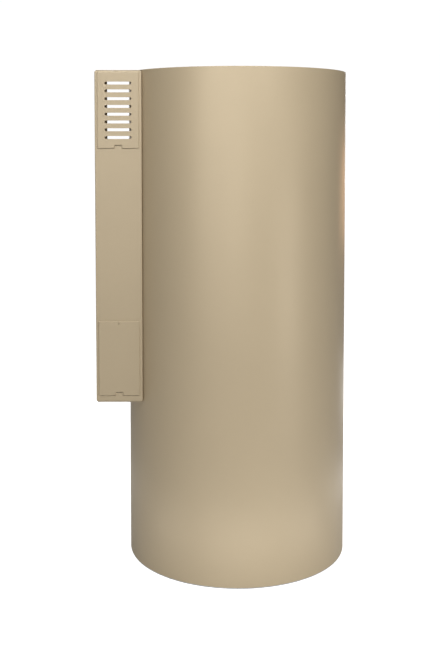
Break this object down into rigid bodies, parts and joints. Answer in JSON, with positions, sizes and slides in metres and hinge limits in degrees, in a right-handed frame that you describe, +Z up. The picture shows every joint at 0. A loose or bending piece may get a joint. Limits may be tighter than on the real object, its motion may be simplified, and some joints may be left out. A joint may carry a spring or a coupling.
{
  "type": "tank water heater",
  "caption": "Upright round storage water heater with a painted jacket and a side service cover with a slotted vent hatch and a service hatch.",
  "frame": {"origin": "centre of the round base, on the floor", "axes": "+Z up along the tank's axis, -Y towards the front with the hatches, -X towards the service cover"},
  "size_m": [0.632, 0.6327, 1.24],
  "materials": {
    "jacket_paint": "satin champagne powder coat",
    "galvanised": "galvanised sheet steel",
    "tank_enamel": "dark blue-grey primed steel, enamelled inside",
    "foam": "rigid polyurethane foam",
    "brass": "machined brass",
    "zinc": "zinc-plated steel",
    "magnesium": "cast magnesium anode with a steel head",
    "black_plastic": "moulded black plastic",
    "ivory_plastic": "moulded ivory plastic",
    "red_plastic": "glossy red plastic",
    "grey_rubber": "moulded grey rubber",
    "stainless": "stainless steel",
    "copper": "drawn copper",
    "brown_pvc": "brown wire insulation",
    "blue_pvc": "blue wire insulation",
    "green_pvc": "green wire insulation"
  },
  "bodies": {
    "heater": {"jacket": "jacket_paint", "top_cover": "jacket_paint", "anode_access_cap": "black_plastic", "base_pan": "galvanised", "tank_support_ring": "galvanised", "base_insulation": "foam", "tank_shell": "tank_enamel", "tank_top_head": "tank_enamel", "tank_bottom_head": "tank_enamel", "insulation": "foam", "anode_spud": "zinc", "anode_rod": "magnesium", "hot_outlet_collar": "grey_rubber", "hot_outlet_nipple": "zinc", "cold_inlet_collar": "grey_rubber", "cold_inlet_nipple": "zinc", "cold_inlet_diffuser": "ivory_plastic", "relief_valve_collar": "grey_rubber", "relief_valve_body": "brass", "relief_lever_pin": "stainless", "drain_collar": "grey_rubber", "drain_valve_body": "brass", "element_gasket": "grey_rubber", "element_head": "brass", "element_terminals": "black_plastic", "heating_element": "copper", "service_cover": "jacket_paint", "cover_top_cap": "jacket_paint", "cover_bottom_cap": "jacket_paint", "cover_strap_upper": "galvanised", "gland_plate": "galvanised", "upper_hem_screw": "zinc", "lower_hem_screw": "zinc", "upper_strap_screw": "zinc", "lower_strap_screw": "zinc", "cable_gland": "black_plastic", "cable_gland_nut": "black_plastic", "service_hatch_clip": "galvanised", "control_tray": "galvanised", "thermostat_body": "black_plastic", "terminal_block": "ivory_plastic", "earth_stud": "brass", "live_lead": "brown_pvc", "neutral_lead": "blue_pvc", "switched_lead": "brown_pvc", "earth_lead": "green_pvc", "thermostat_pocket": "stainless", "thermostat_bulb": "copper"},
    "vent_hatch": {"vent_hatch": "jacket_paint"},
    "service_hatch": {"service_hatch": "jacket_paint", "service_hatch_screw": "stainless"},
    "thermostat_dial": {"thermostat_dial": "ivory_plastic"},
    "reset_button": {"reset_button": "red_plastic"},
    "relief_valve_lever": {"relief_valve_lever": "stainless"},
    "drain_valve_handle": {"drain_valve_handle": "red_plastic"}
  },
  "joints": [
    {"name": "vent_hatch_hinge", "type": "hinge", "parent": "heater", "child": "vent_hatch", "pos_m": [-0.2945, -0.157, 1.2332], "axis": [-1, 0, 0], "range_deg": [0, 75]},
    {"name": "service_hatch_tilt", "type": "hinge", "parent": "heater", "child": "service_hatch", "pos_m": [-0.2945, -0.157, 0.4358], "axis": [1, 0, 0], "range_deg": [0, 60]},
    {"name": "thermostat_turn", "type": "hinge", "parent": "heater", "child": "thermostat_dial", "pos_m": [-0.306, -0.1208, 0.582], "axis": [0, 1, 0], "range_deg": [-135, 135]},
    {"name": "reset_press", "type": "slide", "parent": "heater", "child": "reset_button", "axis": [0, 1, 0], "range_m": [0, 0.004], "stiffness_N_per_m": 150, "springref_m": -0.002},
    {"name": "relief_lever_lift", "type": "hinge", "parent": "heater", "child": "relief_valve_lever", "pos_m": [-0.21394, 0.30554, 1.028], "axis": [0.8192, 0.5736, 0], "range_deg": [0, 80], "stiffness_Nm_per_rad": 0.2, "springref_deg": -5.73},
    {"name": "drain_handle_turn", "type": "hinge", "parent": "heater", "child": "drain_valve_handle", "pos_m": [-0.05539, 0.31415, 0.2045], "axis": [0, 0, -1], "range_deg": [0, 90]}
  ]
}
